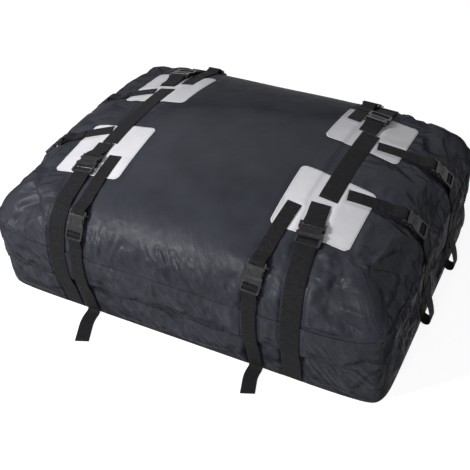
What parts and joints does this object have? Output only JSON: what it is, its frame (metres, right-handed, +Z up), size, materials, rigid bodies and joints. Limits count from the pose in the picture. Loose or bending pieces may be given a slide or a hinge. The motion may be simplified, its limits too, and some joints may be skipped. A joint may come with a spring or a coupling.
{
  "type": "roof cargo bag",
  "caption": "Soft rectangular roof cargo bag, packed full, with a crowned lid, storm flap over its zip, pale grip patches and webbing straps with side release buckles.",
  "frame": {"origin": "middle of the flat floor of the bag", "axes": "+X along the long side to the right, -Y to the front long side, +Z up"},
  "size_m": [1.1964, 1.0347, 0.432],
  "materials": {
    "bag_fabric": "satin coated nylon, dark blue grey",
    "grip_patch": "pale lilac grey textured grip cloth",
    "webbing": "black woven webbing",
    "buckle_plastic": "black moulded acetal, satin",
    "zip_tape": "black coil zip",
    "zip_metal": "dull nickel"
  },
  "bodies": {
    "root": {"bag_body": "bag_fabric", "zip_flap": "bag_fabric", "zip_chain": "zip_tape", "zip_slider_left": "zip_metal", "zip_slider_right": "zip_metal", "top_strap_left": "webbing", "top_strap_right": "webbing", "grip_patch_front_right": "grip_patch", "front_right_wide_strap": "webbing", "front_right_wide_socket": "buckle_plastic", "front_right_wide_webbing": "webbing", "front_right_narrow_strap": "webbing", "front_right_narrow_socket": "buckle_plastic", "front_right_narrow_loop": "webbing", "front_right_side_strap": "webbing", "front_right_side_socket": "buckle_plastic", "front_right_side_loop": "webbing", "grip_patch_front_left": "grip_patch", "front_left_wide_strap": "webbing", "front_left_wide_socket": "buckle_plastic", "front_left_wide_webbing": "webbing", "front_left_narrow_strap": "webbing", "front_left_narrow_socket": "buckle_plastic", "front_left_narrow_loop": "webbing", "front_left_side_strap": "webbing", "front_left_side_socket": "buckle_plastic", "front_left_side_loop": "webbing", "grip_patch_back_right": "grip_patch", "back_right_wide_strap": "webbing", "back_right_wide_socket": "buckle_plastic", "back_right_wide_webbing": "webbing", "back_right_narrow_strap": "webbing", "back_right_narrow_socket": "buckle_plastic", "back_right_narrow_loop": "webbing", "back_right_side_strap": "webbing", "back_right_side_socket": "buckle_plastic", "back_right_side_loop": "webbing", "grip_patch_back_left": "grip_patch", "back_left_wide_strap": "webbing", "back_left_wide_socket": "buckle_plastic", "back_left_wide_webbing": "webbing", "back_left_narrow_strap": "webbing", "back_left_narrow_socket": "buckle_plastic", "back_left_narrow_loop": "webbing", "back_left_side_strap": "webbing", "back_left_side_socket": "buckle_plastic", "back_left_side_loop": "webbing"},
    "front_right_wide_plug": {"front_right_wide_plug": "buckle_plastic"},
    "front_right_narrow_plug": {"front_right_narrow_plug": "buckle_plastic"},
    "front_right_side_plug": {"front_right_side_plug": "buckle_plastic"},
    "front_left_wide_plug": {"front_left_wide_plug": "buckle_plastic"},
    "front_left_narrow_plug": {"front_left_narrow_plug": "buckle_plastic"},
    "front_left_side_plug": {"front_left_side_plug": "buckle_plastic"},
    "back_right_wide_plug": {"back_right_wide_plug": "buckle_plastic"},
    "back_right_narrow_plug": {"back_right_narrow_plug": "buckle_plastic"},
    "back_right_side_plug": {"back_right_side_plug": "buckle_plastic"},
    "back_left_wide_plug": {"back_left_wide_plug": "buckle_plastic"},
    "back_left_narrow_plug": {"back_left_narrow_plug": "buckle_plastic"},
    "back_left_side_plug": {"back_left_side_plug": "buckle_plastic"}
  },
  "joints": [
    {"name": "front_right_wide_release", "type": "slide", "parent": "root", "child": "front_right_wide_plug", "axis": [0.119, -0.9689, -0.2171], "range_m": [0, 0.028], "deforming": ["front_right_wide_webbing"]},
    {"name": "front_right_narrow_release", "type": "slide", "parent": "root", "child": "front_right_narrow_plug", "axis": [-0.0422, -0.6037, -0.7961], "range_m": [0, 0.031], "deforming": ["front_right_narrow_loop"]},
    {"name": "front_right_side_release", "type": "slide", "parent": "root", "child": "front_right_side_plug", "axis": [0.7276, 0.1547, -0.6683], "range_m": [0, 0.031], "deforming": ["front_right_side_loop"]},
    {"name": "front_left_wide_release", "type": "slide", "parent": "root", "child": "front_left_wide_plug", "axis": [0, -0.9845, -0.1756], "range_m": [0, 0.028], "deforming": ["front_left_wide_webbing"]},
    {"name": "front_left_narrow_release", "type": "slide", "parent": "root", "child": "front_left_narrow_plug", "axis": [0.0101, -0.5772, -0.8165], "range_m": [0, 0.031], "deforming": ["front_left_narrow_loop"]},
    {"name": "front_left_side_release", "type": "slide", "parent": "root", "child": "front_left_side_plug", "axis": [-0.7572, -0.2029, -0.6208], "range_m": [0, 0.031], "deforming": ["front_left_side_loop"]},
    {"name": "back_right_wide_release", "type": "slide", "parent": "root", "child": "back_right_wide_plug", "axis": [0, 0.9834, -0.1814], "range_m": [0, 0.028], "deforming": ["back_right_wide_webbing"]},
    {"name": "back_right_narrow_release", "type": "slide", "parent": "root", "child": "back_right_narrow_plug", "axis": [0, 0.8469, -0.5317], "range_m": [0, 0.031], "deforming": ["back_right_narrow_loop"]},
    {"name": "back_right_side_release", "type": "slide", "parent": "root", "child": "back_right_side_plug", "axis": [0.7131, 0.1646, -0.6815], "range_m": [0, 0.031], "deforming": ["back_right_side_loop"]},
    {"name": "back_left_wide_release", "type": "slide", "parent": "root", "child": "back_left_wide_plug", "axis": [0, 0.981, -0.1938], "range_m": [0, 0.028], "deforming": ["back_left_wide_webbing"]},
    {"name": "back_left_narrow_release", "type": "slide", "parent": "root", "child": "back_left_narrow_plug", "axis": [0, 0.6495, -0.7603], "range_m": [0, 0.031], "deforming": ["back_left_narrow_loop"]},
    {"name": "back_left_side_release", "type": "slide", "parent": "root", "child": "back_left_side_plug", "axis": [-0.7344, -0.1831, -0.6535], "range_m": [0, 0.031], "deforming": ["back_left_side_loop"]}
  ]
}
